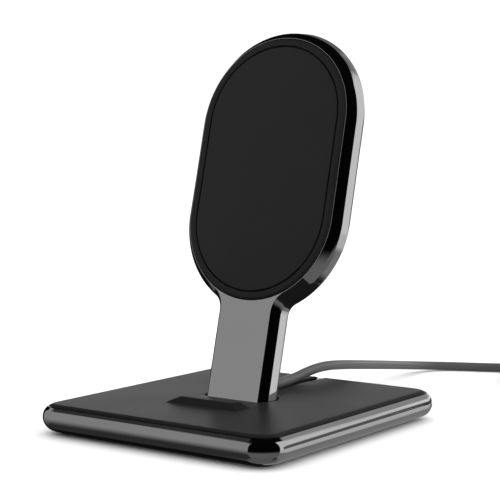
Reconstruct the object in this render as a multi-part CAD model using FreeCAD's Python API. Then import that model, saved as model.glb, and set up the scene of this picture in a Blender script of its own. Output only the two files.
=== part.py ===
"""Desk charging stand: heavy base, leaning arm with a pill-shaped hoop, charging puck and its lead.

Millimetres, +Z up. The front faces -Y and the origin is the middle of the base, on the desk.
Arm and puck are drawn upright in the arm's own axes (x across, y from the front face to the back,
z up the stem from the base's top) and then leaned back onto the base.
"""
import FreeCAD, Part
import math
import os

Vector = FreeCAD.Vector
X_AXIS = Vector(1, 0, 0)
Y_AXIS = Vector(0, 1, 0)
Z_AXIS = Vector(0, 0, 1)

# Base
base_width = 95.0
base_depth = 103.0
base_corner_radius = 9.0
least_corner_radius = 1.0
foot_thickness = 1.0
foot_inset = 6.0
foot_edge_round = 0.3
casting_height = 8.2
casting_shoulder = 0.9
casting_bottom_round = 4.65
top_round = 4.25
pad_thickness = 0.8
pad_edge_step = 0.3
pad_spigot_depth = 1.5
pad_spigot_inset = 7.0
deck_thickness = 1.4
ballast_inset = 10.0
cover_thickness = 1.0
cover_margin = 4.2
base_fit = 0.2

# Phone stop and cable channel moulded in the top pad
stop_length = 28.4
stop_top_length = 21.0
stop_height = 1.8
stop_front = -23.0
stop_foot_width = 8.0
stop_top_width = 3.4
stop_top_setback = 3.2
stop_edge_round = 0.7
stop_foot_round = 1.2
foot_recess_depth = 0.6
foot_recess_gap = 0.7
foot_recess_round = 0.3
channel_width = 4.4
channel_depth = 1.2
channel_edge_round = 0.4

# Arm
lean_angle = 14.2
stem_front = -5.7
stem_width = 21.1
pill_height = 78.6
pill_straight = 33.0
hoop_radius = 29.45
arm_thickness = 10.6
crease_depth = 2.45
crease_spread = 2.05
ridge_depth = 6.0
ridge_spread = 3.15
rear_spread = 0.35
stem_spread_share = 0.93
front_edge_break = 0.35
rear_edge_break = 0.6
neck_round = 8.0
hoop_bore_radius = 28.95
ledge_width = 3.65
ledge_thickness = 1.8
stem_foot_round = 0.9
foot_round_steps = 4
tenon_width = 19.0
tenon_length = 6.6
tenon_front_gap = 1.6
lead_depth = 5.2
trough_width = 4.6
trough_front_gap = 0.3

# Screws
arm_screw_radius = 2.0
arm_screw_reach = 9.0
arm_screw_spacing = 12.4
arm_screw_head_radius = 3.6
arm_screw_head_height = 2.2
arm_screw_head_clearance = 0.6
cover_screw_radius = 1.0
cover_screw_head_radius = 1.7
cover_screw_head_height = 0.6
cover_screw_reach = 3.0
screw_clearance = 0.2
drive_share = 0.5
drive_depth = 0.9
drive_depth_share = 0.6

# Puck
puck_fit = 0.2
puck_proud = 0.6
bezel_thickness = 2.0
bezel_edge_round = 1.1
bezel_ring_width = 2.5
groove_width = 0.5
face_pad_proud = 0.1
face_pad_thickness = 1.1
face_pad_edge_round = 0.35
shell_wall = 1.5
shell_floor = 1.4
shell_edge_round = 1.0
spigot_depth = 1.2
spigot_width = 1.4
coil_outer_radius = 22.0
coil_inner_radius = 10.5
coil_thickness = 1.2
coil_turns_seen = 7
coil_groove_share = 0.25
ferrite_thickness = 0.8
ferrite_margin = 1.5
carrier_thickness = 1.0
carrier_rim = 0.8
post_radius = 2.2
post_inset = 4.5
board_thickness = 1.0
board_margin = 1.2
board_gap = 2.0
chip_drop = 4.1
inductor_drop = 7.1
capacitor_drop = 2.3
board_screw_radius = 0.9
board_screw_head_radius = 1.7
board_screw_head_height = 0.8
board_screw_spacing = 26.0
board_screw_drop = 3.1
chip_size = 6.0
chip_thickness = 0.9
inductor_size = 5.0
inductor_thickness = 1.0
inductor_edge_round = 0.4
capacitor_length = 2.0
capacitor_width = 1.2
capacitor_height = 0.8
capacitor_count = 5
board_part_spacing = 7.8
heat_pad_size = 7.0

# Plug and socket at the puck's lower end
socket_width = 8.94
socket_height = 3.2
socket_length = 7.3
socket_wall = 0.3
socket_tongue_share = 0.66
socket_corner_share = 0.9
socket_tab_reach = 1.6
socket_tab_length = 2.0
plug_shell_width = 8.3
plug_shell_height = 2.4
plug_shell_length = 6.0
plug_body_width = 11.2
plug_body_height = 6.2
plug_body_length = 12.0
plug_body_round = 1.4
plug_clearance = 0.35
relief_length = 3.0
relief_radius = 2.7

# Lead
lead_radius = 1.75
coil_mean_radius = 18.3
coil_turns_wide = 3
coil_turns_high = 4
coil_corner_round = 1.6
coil_centre = (56.6, 143.7)
tie_thickness = 0.8
tie_width = 7.0
tie_angle = 300.0
tail_length = 22.0
far_body_width = 15.6
far_body_height = 8.0
far_body_length = 24.0
far_body_round = 2.4
far_relief_length = 9.0
far_relief_radius = 3.0
far_shell_width = 12.0
far_shell_height = 4.5
far_shell_length = 11.8
far_shell_wall = 0.3
far_tongue_height = 1.9
far_tongue_gap = 0.4

# The lead's way from its plug: down the stem, out of its back, over the base's rear edge,
# along the desk to the coil
lead_route = [
    (0.0, 2.90, 22.79),
    (0.0, 3.36, 18.82),
    (0.0, 5.20, 15.28),
    (0.0, 8.19, 12.62),
    (0.0, 11.92, 11.20),
    (0.0, 19.00, 11.20),
    (0.0, 30.00, 11.70),
    (0.0, 41.00, 13.40),
    (0.0, 52.00, 13.70),
    (0.0, 65.00, 12.30),
    (-1.6, 79.40, 10.25),
    (-3.6, 95.40, 7.95),
    (-5.6, 113.00, 5.35),
    (-6.6, 128.30, 3.15),
    (-4.0, 136.50, 2.20),
    (1.3, 142.50, 1.80),
    (15.2, 148.80, 1.80),
    (31.4, 156.10, 1.90),
    (47.6, 163.50, 2.50),
]
arc_share = 0.45

# Heights and places that follow from the sizes above
casting_bottom = foot_thickness
seam_height = casting_bottom + casting_height
base_height = seam_height + pad_thickness
shoulder_height = seam_height - casting_shoulder
deck_top = seam_height - pad_spigot_depth
deck_bottom = deck_top - deck_thickness
cover_top = casting_bottom + cover_thickness
lean = math.radians(lean_angle)
stem_run = arm_thickness / math.cos(lean)
stem_bottom = -foot_recess_depth
wall_steps = [(0.0, -front_edge_break), (front_edge_break, 0.0), (crease_depth, crease_spread),
              (ridge_depth, ridge_spread), (arm_thickness - rear_edge_break, rear_spread),
              (arm_thickness, rear_spread - rear_edge_break)]
tenon_front = stem_front + tenon_front_gap
tenon_middle = tenon_front + tenon_length / 2
ledge_front = arm_thickness - ledge_thickness
puck_radius = hoop_bore_radius - puck_fit
bezel_back = bezel_thickness - puck_proud
shell_floor_front = ledge_front - shell_floor
face_pad_radius = puck_radius - bezel_ring_width - groove_width
coil_front = bezel_back
ferrite_front = coil_front + coil_thickness
carrier_front = ferrite_front + ferrite_thickness
carrier_back = carrier_front + carrier_thickness
board_front = lead_depth
board_back = board_front + board_thickness
board_top = pill_height - coil_outer_radius - ferrite_margin - board_gap
puck_bottom = pill_height - pill_straight / 2 - puck_radius
socket_mouth = puck_bottom
plug_shell_top = socket_mouth + plug_shell_length
plug_body_top = puck_bottom - puck_fit
plug_body_bottom = plug_body_top - plug_body_length
relief_bottom = plug_body_bottom - relief_length
coil_width = 2 * lead_radius * coil_turns_wide
coil_height = 2 * lead_radius * coil_turns_high
coil_outer = coil_mean_radius + coil_width / 2
coil_bottom = tie_thickness
tail_x = coil_centre[0] + coil_outer - lead_radius
tail_height = far_body_height / 2


def on_arm(shape):
    """Leans a piece drawn in the arm's axes back and stands it on the base."""
    placed = shape.copy()
    placed.rotate(Vector(0, 0, 0), X_AXIS, -lean_angle)
    placed.translate(Vector(0, stem_front, base_height))
    return placed


def arm_point(x, y, z):
    """A point of the arm's axes in the base's axes."""
    across = stem_front + y * math.cos(lean) + z * math.sin(lean)
    height = base_height - y * math.sin(lean) + z * math.cos(lean)
    return Vector(x, across, height)


def box(x0, x1, y0, y1, z0, z1):
    return Part.makeBox(x1 - x0, y1 - y0, z1 - z0, Vector(x0, y0, z0))


def arc(start, middle, end):
    return Part.Arc(start, middle, end).toShape()


def line(start, end):
    return Part.LineSegment(start, end).toShape()


def rounded_rectangle(width, depth, radius, z):
    """A wire of four lines and four quarter arcs about the origin, at height z."""
    edges = []
    half_x = width / 2 - radius
    half_y = depth / 2 - radius
    corners = [(half_x, half_y, 0), (-half_x, half_y, 90), (-half_x, -half_y, 180), (half_x, -half_y, 270)]
    ends = []
    for x, y, turn in corners:
        points = []
        for step in (0, 45, 90):
            angle = math.radians(turn + step)
            points.append(Vector(x + radius * math.cos(angle), y + radius * math.sin(angle), z))
        ends.append(points)
    for index, points in enumerate(ends):
        edges.append(arc(*points))
        edges.append(line(points[2], ends[(index + 1) % 4][0]))
    return Part.Wire(edges)


def slab(width, depth, radius, bottom, top):
    face = Part.Face(rounded_rectangle(width, depth, radius, bottom))
    return face.extrude(Vector(0, 0, top - bottom))


def edges_at(shape, axis, value):
    """The edges that lie wholly in the plane where x, y or z (axis 0, 1 or 2) has the given value."""
    found = []
    for edge in shape.Edges:
        ends = [vertex.Point[axis] for vertex in edge.Vertexes]
        ends.append(edge.CenterOfMass[axis])
        if all(abs(end - value) < 1e-5 for end in ends):
            found.append(edge)
    return found


def base_form(inset):
    """The rounded outer form of casting and pad together, drawn in by an inset all round."""
    form = slab(base_width - 2 * inset, base_depth - 2 * inset, base_corner_radius - inset,
                casting_bottom, base_height)
    form = form.makeFillet(casting_bottom_round, edges_at(form, 2, casting_bottom))
    return form.makeFillet(top_round, edges_at(form, 2, base_height))


def rounding_inset(height):
    """How far the base's upper rounding has drawn in at a height."""
    rise = max(height - (base_height - top_round), 0.0)
    return top_round - math.sqrt(top_round ** 2 - rise ** 2)


def base_outline(inset, height):
    return rounded_rectangle(base_width - 2 * inset, base_depth - 2 * inset, base_corner_radius - inset, height)


def inner_slab(inset, bottom, top):
    """A slab that follows the base's outline at an inset."""
    radius = max(base_corner_radius - inset, least_corner_radius)
    return slab(base_width - 2 * inset, base_depth - 2 * inset, radius, bottom, top)


def arm_screw_places():
    return [(side * arm_screw_spacing / 2, tenon_middle) for side in (-1, 1)]


def cover_screw_places():
    """Near the corners of the bottom cover, half way between its edge and the ballast plate's."""
    inset = ballast_inset - cover_margin / 2
    reach_x = base_width / 2 - inset - base_corner_radius / 2
    reach_y = base_depth / 2 - inset
    return [(side_x * reach_x, side_y * reach_y) for side_x in (-1, 1) for side_y in (-1, 1)]


def upright_cylinders(places, radius, bottom, top):
    shapes = [Part.makeCylinder(radius, top - bottom, Vector(x, y, bottom)) for x, y in places]
    return Part.makeCompound(shapes)


def make_base_casting():
    """Die-cast base: bullnose edge with a flat shoulder under the pad, its seat, ballast and cover wells."""
    bullnose = box(-base_width, base_width, -base_depth, base_depth, casting_bottom, shoulder_height)
    shoulder = Part.makeLoft([base_outline(rounding_inset(height), height)
                              for height in (shoulder_height, seam_height)], True, True)
    casting = base_form(0.0).common(bullnose).fuse(shoulder).removeSplitter()
    casting = casting.cut(inner_slab(pad_spigot_inset, deck_top, seam_height + 1))
    casting = casting.cut(inner_slab(ballast_inset, casting_bottom - 1, deck_bottom))
    casting = casting.cut(inner_slab(ballast_inset - cover_margin, casting_bottom - 1, cover_top))
    holes = upright_cylinders(arm_screw_places(), arm_screw_radius + screw_clearance,
                              deck_bottom - 1, deck_top + 1)
    casting = casting.cut(holes)
    threads = upright_cylinders(cover_screw_places(), cover_screw_radius,
                                cover_top, cover_top + cover_screw_reach)
    return casting.cut(threads)


def make_phone_stop():
    """Low ridge with sloping ends that keeps the phone's lower edge from sliding forwards."""
    half = stop_length / 2
    half_top = stop_top_length / 2
    back = stop_front + stop_foot_width
    top_front = stop_front + stop_top_setback
    sunk = base_height - pad_thickness / 2
    share = pad_thickness / 2 / stop_height
    grow = (half - half_top) * share
    grow_front = stop_top_setback * share
    grow_back = (stop_foot_width - stop_top_setback - stop_top_width) * share

    def level(half_length, front, rear, z):
        points = [Vector(-half_length, front, z), Vector(half_length, front, z),
                  Vector(half_length, rear, z), Vector(-half_length, rear, z)]
        return Part.makePolygon(points + points[:1])

    top = base_height + stop_height
    lower = level(half + grow, stop_front - grow_front, back + grow_back, sunk)
    upper = level(half_top, top_front, top_front + stop_top_width, top)
    ridge = Part.makeLoft([lower, upper], True, True)
    rounded = edges_at(ridge, 2, top)
    return ridge.makeFillet(stop_edge_round, rounded)


def make_channel_cutter():
    """The lead's straight channel from under the stem to the back edge of the pad."""
    half = channel_width / 2
    start = tenon_front + tenon_length + base_fit
    floor = base_height - channel_depth
    cutter = box(-half, half, start, base_depth, floor, base_height + 1)
    lower = [edge for edge in edges_at(cutter, 2, floor) if abs(edge.CenterOfMass[0]) > half - 1e-5]
    return cutter.makeFillet(channel_edge_round, lower)


def make_foot_recess():
    """Shallow recess that the stem's foot stands in, with a narrow gap all round."""
    recess = Part.Face(stem_section(stem_bottom, -foot_recess_gap)).extrude(Vector(0, 0, 1 - stem_bottom))
    upright = [edge for edge in recess.Edges if abs(edge.Vertexes[0].Z - edge.Vertexes[-1].Z) > 0.5]
    corners = [edge for edge in upright if abs(edge.CenterOfMass.x) < stem_width / 2 + foot_recess_gap]
    return recess.makeFillet(foot_recess_round, corners)


def make_base_top_pad():
    """Soft-touch moulding on top of the base, with its phone stop, arm opening and lead channel."""
    above_seam = box(-base_width, base_width, -base_depth, base_depth, seam_height, base_height + 1)
    pad = base_form(pad_edge_step).common(above_seam)
    pad = pad.fuse(inner_slab(pad_spigot_inset + base_fit, deck_top, seam_height + pad_thickness / 2))
    pad = pad.fuse(make_phone_stop()).removeSplitter()
    around_stop = [edge for edge in edges_at(pad, 2, base_height)
                   if abs(edge.CenterOfMass.x) < stop_length / 2 + 0.1
                   and stop_front - 0.1 < edge.CenterOfMass.y < stop_front + stop_foot_width + 0.1]
    pad = pad.makeFillet(stop_foot_round, around_stop)
    half = tenon_width / 2 + base_fit
    opening = box(-half, half, tenon_front - base_fit, tenon_front + tenon_length + base_fit,
                  deck_top - 1, base_height + 1)
    return pad.cut(opening).cut(make_foot_recess()).cut(make_channel_cutter()).removeSplitter()


def make_ballast_plate():
    """Steel weight in the casting's well, cleared round the arm screws' heads."""
    plate = inner_slab(ballast_inset + base_fit, cover_top, deck_bottom)
    heads = upright_cylinders(arm_screw_places(), arm_screw_head_radius + arm_screw_head_clearance,
                              cover_top - 1, deck_bottom + 1)
    return plate.cut(heads)


def make_bottom_cover():
    """Thin plate that closes the well and carries the foot."""
    cover = inner_slab(ballast_inset - cover_margin + base_fit, casting_bottom, cover_top)
    holes = upright_cylinders(cover_screw_places(), cover_screw_radius + screw_clearance,
                              casting_bottom - 1, cover_top + 1)
    sinks = upright_cylinders(cover_screw_places(), cover_screw_head_radius + screw_clearance,
                              casting_bottom - 1, casting_bottom + cover_screw_head_height)
    return cover.cut(holes).cut(sinks)


def make_foot_pad():
    """Anti-slip rubber sheet under the base, set in from its edge."""
    foot = inner_slab(foot_inset, 0.0, foot_thickness)
    return foot.makeFillet(foot_edge_round, edges_at(foot, 2, 0.0))


def make_screw(x, y, head_bottom, head_radius, head_height, radius, top):
    """Upright screw with its head below and a hexagon recess in the head."""
    head = Part.makeCylinder(head_radius, head_height, Vector(x, y, head_bottom))
    shank = Part.makeCylinder(radius, top - head_bottom, Vector(x, y, head_bottom))
    drive = head_radius * drive_share
    points = []
    for step in range(7):
        angle = math.radians(60 * step)
        points.append(Vector(x + drive * math.cos(angle), y + drive * math.sin(angle), head_bottom))
    depth = min(drive_depth, head_height * drive_depth_share)
    recess = Part.Face(Part.makePolygon(points)).extrude(Vector(0, 0, depth))
    return head.fuse(shank).cut(recess).removeSplitter()


def make_arm_screws():
    bottom = deck_bottom - arm_screw_head_height
    return [make_screw(x, y, bottom, arm_screw_head_radius, arm_screw_head_height, arm_screw_radius,
                       deck_top + arm_screw_reach) for x, y in arm_screw_places()]


def make_cover_screws():
    return [make_screw(x, y, casting_bottom, cover_screw_head_radius, cover_screw_head_height,
                       cover_screw_radius, cover_top + cover_screw_reach) for x, y in cover_screw_places()]


def arm_outline(depth, spread):
    """Front outline of hoop, neck and stem, spread outwards, as a wire at a depth behind the front face."""
    half = stem_width / 2 + spread * stem_spread_share
    radius = hoop_radius + spread
    neck = neck_round - spread
    low = pill_height - pill_straight / 2
    high = pill_height + pill_straight / 2
    root = -arm_thickness
    neck_z = low - math.sqrt((radius + neck) ** 2 - (half + neck) ** 2)
    to_hoop = Vector(-(half + neck), 0, low - neck_z).normalize()
    neck_end = Vector(half + neck, 0, neck_z) + to_hoop * neck
    neck_middle = Vector(half + neck, 0, neck_z) + (to_hoop - X_AXIS).normalize() * neck
    hoop_middle = Vector(0, 0, low) + (X_AXIS - to_hoop).normalize() * radius

    def at(x, z, side=1):
        return Vector(side * x, depth, z)

    edges = []
    for side in (1, -1):
        edges.append([line(at(half, root, side), at(half, neck_z, side)),
                      arc(at(half, neck_z, side), at(neck_middle.x, neck_middle.z, side),
                          at(neck_end.x, neck_end.z, side)),
                      arc(at(neck_end.x, neck_end.z, side), at(hoop_middle.x, hoop_middle.z, side),
                          at(radius, low, side)),
                      line(at(radius, low, side), at(radius, high, side))])
    crown = arc(at(radius, high), at(0, high + radius), at(radius, high, -1))
    foot = line(at(half, root, -1), at(half, root))
    return Part.Wire(edges[0] + [crown] + edges[1][::-1] + [foot])


def pill_wire(radius, depth):
    low = pill_height - pill_straight / 2
    high = pill_height + pill_straight / 2
    right_low = Vector(radius, depth, low)
    right_high = Vector(radius, depth, high)
    left_high = Vector(-radius, depth, high)
    left_low = Vector(-radius, depth, low)
    return Part.Wire([line(right_low, right_high),
                      arc(right_high, Vector(0, depth, high + radius), left_high),
                      line(left_high, left_low),
                      arc(left_low, Vector(0, depth, low - radius), right_low)])


def pill(radius, front, back):
    return Part.Face(pill_wire(radius, front)).extrude(Vector(0, back - front, 0))


def stem_section(height, inset):
    """Level section of the leaning stem at a height above the pad, drawn in all round."""
    half_x = stem_width / 2 + ridge_spread * stem_spread_share
    half_y = stem_run / 2
    middle = stem_front + half_y + height * math.tan(lean)
    points = []
    for side in (1, -1):
        for depth, spread in wall_steps[::side]:
            x = side * (stem_width / 2 + spread * stem_spread_share) * (half_x - inset) / half_x
            y = middle + (depth / math.cos(lean) - half_y) * (half_y - inset) / half_y
            points.append(Vector(x, y, base_height + height))
    return Part.makePolygon(points + points[:1])


def make_stem_foot():
    """Rounded lower edge of the stem where it stands on the pad."""
    wires = []
    for step in range(foot_round_steps + 1):
        angle = math.pi / 2 * step / foot_round_steps
        height = stem_bottom + stem_foot_round * (1 - math.cos(angle))
        inset = stem_foot_round * (1 - math.sin(angle))
        wires.append(stem_section(height, inset))
    return Part.makeLoft(wires, True, True)


def make_arm():
    """One casting: stem and hoop with creased side walls, puck seat, lead trough and screwed tenon."""
    body = Part.makeLoft([arm_outline(depth, spread) for depth, spread in wall_steps], True, True)
    body = body.cut(pill(hoop_bore_radius, -1, ledge_front))
    body = body.cut(pill(hoop_bore_radius - ledge_width, -1, arm_thickness + 1))
    arm = on_arm(body)
    foot_top = base_height + stem_bottom + stem_foot_round
    below = box(-base_width, base_width, -base_depth, base_depth, -base_height, foot_top)
    arm = arm.cut(below).fuse(make_stem_foot())
    tenon = box(-tenon_width / 2, tenon_width / 2, tenon_front, tenon_front + tenon_length,
                deck_top, foot_top)
    arm = arm.fuse(tenon)
    arm = arm.cut(on_arm(make_lead_trough()))
    threads = upright_cylinders(arm_screw_places(), arm_screw_radius,
                                deck_top - 1, deck_top + arm_screw_reach)
    return arm.cut(threads)


def make_lead_trough():
    """Open-backed trough down the stem: wide for the plug's body, narrow for the lead."""
    half = trough_width / 2
    behind = arm_thickness + 1
    floor = lead_depth - lead_radius - trough_front_gap
    lead_part = box(-half, half, floor, behind, -1.0, plug_body_bottom)
    half_body = plug_body_width / 2 + plug_clearance
    body_floor = lead_depth - plug_body_height / 2 - plug_clearance
    body_part = box(-half_body, half_body, body_floor, behind, plug_body_bottom - plug_clearance,
                    puck_bottom + puck_fit)
    relief = relief_radius + plug_clearance
    relief_part = box(-relief, relief, lead_depth - relief, behind, relief_bottom, plug_body_bottom)
    return lead_part.fuse(body_part).fuse(relief_part)


def make_puck_bezel():
    """Front frame of the puck: rounded outer ring, recess for the soft face and a spigot into the shell."""
    bezel = pill(puck_radius, -puck_proud, bezel_back)
    bezel = bezel.makeFillet(bezel_edge_round, edges_at(bezel, 1, -puck_proud))
    recess_floor = face_pad_thickness - puck_proud - face_pad_proud
    bezel = bezel.cut(pill(face_pad_radius + groove_width, -puck_proud - 1, recess_floor))
    outside = puck_radius - shell_wall - puck_fit / 2
    spigot = pill(outside, bezel_back, bezel_back + spigot_depth)
    spigot = spigot.cut(pill(outside - spigot_width, bezel_back, bezel_back + spigot_depth))
    return bezel.fuse(spigot).removeSplitter()


def make_puck_face_pad():
    """Soft face that the phone leans on, set in the bezel inside a thin groove."""
    front = -puck_proud - face_pad_proud
    pad = pill(face_pad_radius, front, front + face_pad_thickness)
    return pad.makeFillet(face_pad_edge_round, edges_at(pad, 1, front))


def socket_opening():
    """Clearance for the socket through the shell's lower end."""
    half_width = socket_width / 2 + puck_fit
    half_height = socket_height / 2 + puck_fit
    opening = box(-half_width, half_width, lead_depth - half_height, lead_depth + half_height,
                  puck_bottom - 1, puck_bottom + socket_length + 1)
    along = [edge for edge in opening.Edges if abs(edge.Vertexes[0].Z - edge.Vertexes[1].Z) > 1]
    return opening.makeFillet(half_height * socket_corner_share, along)


def carrier_posts():
    """Places of the carrier's posts, inside the shell beside the coil."""
    across = puck_radius - shell_wall - post_inset
    return [(side_x * across, pill_height + side_z * pill_straight / 2)
            for side_x in (-1, 1) for side_z in (-1, 1)]


def board_screw_places():
    return [(side * board_screw_spacing / 2, board_top - board_screw_drop) for side in (-1, 1)]


def level_cylinders(places, radius, front, back):
    """Cylinders that run from front to back at places across the puck."""
    shapes = [Part.makeCylinder(radius, back - front, Vector(x, front, z), Y_AXIS) for x, z in places]
    return Part.makeCompound(shapes)


def make_puck_rear_shell():
    """Cup-shaped back of the puck with bosses for carrier and board."""
    shell = pill(puck_radius, bezel_back, ledge_front)
    shell = shell.makeFillet(shell_edge_round, edges_at(shell, 1, ledge_front))
    shell = shell.cut(pill(puck_radius - shell_wall, bezel_back - 1, shell_floor_front))
    shell = shell.fuse(level_cylinders(carrier_posts(), post_radius, carrier_back, shell_floor_front))
    shell = shell.fuse(level_cylinders(board_screw_places(), post_radius, board_back, shell_floor_front))
    shell = shell.cut(level_cylinders(board_screw_places(), board_screw_radius, board_back - 1,
                                      shell_floor_front))
    return shell.cut(socket_opening()).removeSplitter()


def puck_disc(radius, front, thickness):
    """Disc about the middle of the puck."""
    return Part.makeCylinder(radius, thickness, Vector(0, front, pill_height), Y_AXIS)


def make_charging_coil():
    """Flat copper winding: one solid ring with its turns as shallow steps on the front."""
    ring = puck_disc(coil_outer_radius, coil_front, coil_thickness)
    ring = ring.cut(puck_disc(coil_inner_radius, coil_front, coil_thickness))
    pitch = (coil_outer_radius - coil_inner_radius) / coil_turns_seen
    groove = pitch * coil_groove_share
    for turn in range(1, coil_turns_seen):
        middle = coil_inner_radius + turn * pitch
        outer = puck_disc(middle + groove / 2, coil_front, groove)
        inner = puck_disc(middle - groove / 2, coil_front, groove)
        ring = ring.cut(outer.cut(inner))
    return ring


def make_ferrite_sheet():
    """Round ferrite shield behind the winding."""
    return puck_disc(coil_outer_radius + ferrite_margin, ferrite_front, ferrite_thickness)


def make_coil_carrier():
    """Tray that holds ferrite and winding against the bezel, on four posts of the shell."""
    inside = coil_outer_radius + ferrite_margin + puck_fit
    tray = puck_disc(inside + carrier_rim, ferrite_front, carrier_back - ferrite_front)
    for across, middle in carrier_posts()[2:]:
        tray = tray.fuse(box(-across, across, carrier_front, carrier_back,
                             middle - post_radius, middle + post_radius))
    tray = tray.fuse(level_cylinders(carrier_posts(), post_radius, carrier_front, carrier_back))
    return tray.cut(puck_disc(inside, ferrite_front, ferrite_thickness)).removeSplitter()


def make_circuit_board():
    """Charging board in the puck's lower end, notched round the socket."""
    inside = puck_radius - shell_wall - board_margin
    board = pill(inside, board_front, board_back)
    board = board.common(box(-inside, inside, board_front - 1, board_back + 1, puck_bottom, board_top))
    half = socket_width / 2 + puck_fit
    board = board.cut(box(-half, half, board_front - 1, board_back + 1, puck_bottom - 1,
                          puck_bottom + socket_length + puck_fit))
    holes = level_cylinders(board_screw_places(), board_screw_radius, board_front - 1, board_back + 1)
    return board.cut(holes)


def on_board(x, z, width, height, thickness):
    """A block on the board's front side."""
    return box(x - width / 2, x + width / 2, board_front - thickness, board_front,
               z - height / 2, z + height / 2)


def make_control_chip():
    return on_board(0, board_top - chip_drop, chip_size, chip_size, chip_thickness)


def make_inductor():
    block = on_board(board_part_spacing, board_top - inductor_drop, inductor_size, inductor_size,
                     inductor_thickness)
    return block.makeFillet(inductor_edge_round, edges_at(block, 1, board_front - inductor_thickness))


def make_capacitors():
    highest = board_top - capacitor_drop
    return [on_board(-board_part_spacing, highest - index * 2 * capacitor_width, capacitor_length,
                     capacitor_width, capacitor_height) for index in range(capacitor_count)]


def make_heat_pad():
    """Soft pad that carries the chip's heat from the board to the shell's back."""
    half = heat_pad_size / 2
    middle = board_top - chip_drop
    return box(-half, half, board_back, shell_floor_front, middle - half, middle + half)


def make_board_screws():
    screws = []
    for x, z in board_screw_places():
        head = Part.makeCylinder(board_screw_head_radius, board_screw_head_height,
                                 Vector(x, board_front - board_screw_head_height, z), Y_AXIS)
        shank = Part.makeCylinder(board_screw_radius, shell_floor_front - board_front,
                                  Vector(x, board_front, z), Y_AXIS)
        screws.append(head.fuse(shank).removeSplitter())
    return screws


def capsule(width, height, bottom, top):
    """Upright bar with round sides, about the lead's axis in the arm."""
    half = width / 2 - height / 2
    radius = height / 2
    right = Part.makeCylinder(radius, top - bottom, Vector(half, lead_depth, bottom))
    left = Part.makeCylinder(radius, top - bottom, Vector(-half, lead_depth, bottom))
    middle = box(-half, half, lead_depth - radius, lead_depth + radius, bottom, top)
    return middle.fuse(right).fuse(left).removeSplitter()


def make_socket():
    """Metal shell of the puck's socket, open below, with its tongue."""
    top = socket_mouth + socket_length
    shell = capsule(socket_width, socket_height, socket_mouth, top)
    hollow = capsule(socket_width - 2 * socket_wall, socket_height - 2 * socket_wall,
                     socket_mouth - 1, top - socket_wall)
    half = socket_width / 2
    half_tongue = half * socket_tongue_share
    tongue = box(-half_tongue, half_tongue, lead_depth - socket_wall,
                 lead_depth + socket_wall, socket_mouth + socket_wall, top)
    middle = socket_mouth + socket_length / 2
    tabs = box(-half - socket_tab_reach, half + socket_tab_reach, board_front - socket_wall, board_front,
               middle - socket_tab_length / 2, middle + socket_tab_length / 2)
    tabs = tabs.cut(box(-half + socket_wall, half - socket_wall, board_front - 1, board_front + 1,
                        socket_mouth, top))
    return shell.fuse(tabs).cut(hollow).fuse(tongue).removeSplitter()


def make_plug_shell():
    """Metal tip of the plug, hollow so that it slides over the socket's tongue."""
    shell = capsule(plug_shell_width, plug_shell_height, plug_body_top, plug_shell_top)
    hollow = capsule(plug_shell_width - 2 * socket_wall, plug_shell_height - 2 * socket_wall,
                     plug_body_top + socket_wall, plug_shell_top + 1)
    return shell.cut(hollow)


def make_plug_body():
    """Moulded grip of the plug with a short tapered relief for the lead."""
    half_x = plug_body_width / 2
    half_y = plug_body_height / 2
    grip = box(-half_x, half_x, lead_depth - half_y, lead_depth + half_y, plug_body_bottom, plug_body_top)
    along = [edge for edge in grip.Edges if abs(edge.Vertexes[0].Z - edge.Vertexes[1].Z) > 1]
    grip = grip.makeFillet(plug_body_round, along)
    relief = Part.makeCone(lead_radius, relief_radius, relief_length, Vector(0, lead_depth, relief_bottom))
    return grip.fuse(relief).removeSplitter()


def lead_bends(points):
    """Start, middle and end of the arc at each inner point of a route, with its radius."""
    bends = []
    for before, corner, after in zip(points, points[1:], points[2:]):
        back = before - corner
        ahead = after - corner
        half_turn = (math.pi - back.getAngle(ahead)) / 2
        tangent = arc_share * min(back.Length, ahead.Length)
        radius = tangent / math.tan(half_turn)
        back.normalize()
        ahead.normalize()
        to_centre = (back + ahead).normalize()
        sagitta = radius / math.cos(half_turn) - radius
        middle = corner + to_centre * sagitta
        bends.append((corner + back * tangent, middle, corner + ahead * tangent, radius))
    return bends


def make_lead():
    """Round lead along its route: straight runs joined by tangent arcs."""
    points = [arm_point(0, lead_depth, relief_bottom)]
    points += [Vector(*place) for place in lead_route]
    bends = lead_bends(points)
    edges = []
    here = points[0]
    for start, middle, end, radius in bends:
        edges.append(line(here, start))
        edges.append(arc(start, middle, end))
        here = end
    edges.append(line(here, points[-1]))
    path = Part.Wire(edges)
    profile = Part.Wire(Part.makeCircle(lead_radius, points[0], points[1] - points[0]))
    tube = path.makePipeShell([profile], True, True)
    print("lead radii", [round(bend[3], 1) for bend in bends])
    print("lead length", round(path.Length, 1), "volume share",
          round(tube.Volume / (math.pi * lead_radius ** 2 * path.Length), 4))
    return tube.cut(make_lead_coil())


def coil_section(margin):
    """Section of the wound lead, grown by a margin, as a face beside the coil's axis."""
    width = coil_width + 2 * margin
    height = coil_height + 2 * margin
    wire = rounded_rectangle(width, height, coil_corner_round + margin, 0)
    face = Part.Face(wire)
    face.rotate(Vector(0, 0, 0), X_AXIS, 90)
    face.translate(Vector(coil_mean_radius, 0, coil_bottom + coil_height / 2))
    return face


def make_lead_coil():
    """Outer shape of the put-away length, wound flat on the desk."""
    coil = coil_section(0.0).revolve(Vector(0, 0, 0), Z_AXIS, 360)
    coil.translate(Vector(coil_centre[0], coil_centre[1], 0))
    return coil


def make_cable_tie():
    """Band round the wound lead."""
    sweep = math.degrees(tie_width / coil_outer)
    band = coil_section(tie_thickness).cut(coil_section(0.0))
    tie = band.revolve(Vector(0, 0, 0), Z_AXIS, sweep)
    tie.rotate(Vector(0, 0, 0), Z_AXIS, tie_angle)
    tie.translate(Vector(coil_centre[0], coil_centre[1], 0))
    return tie


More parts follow.
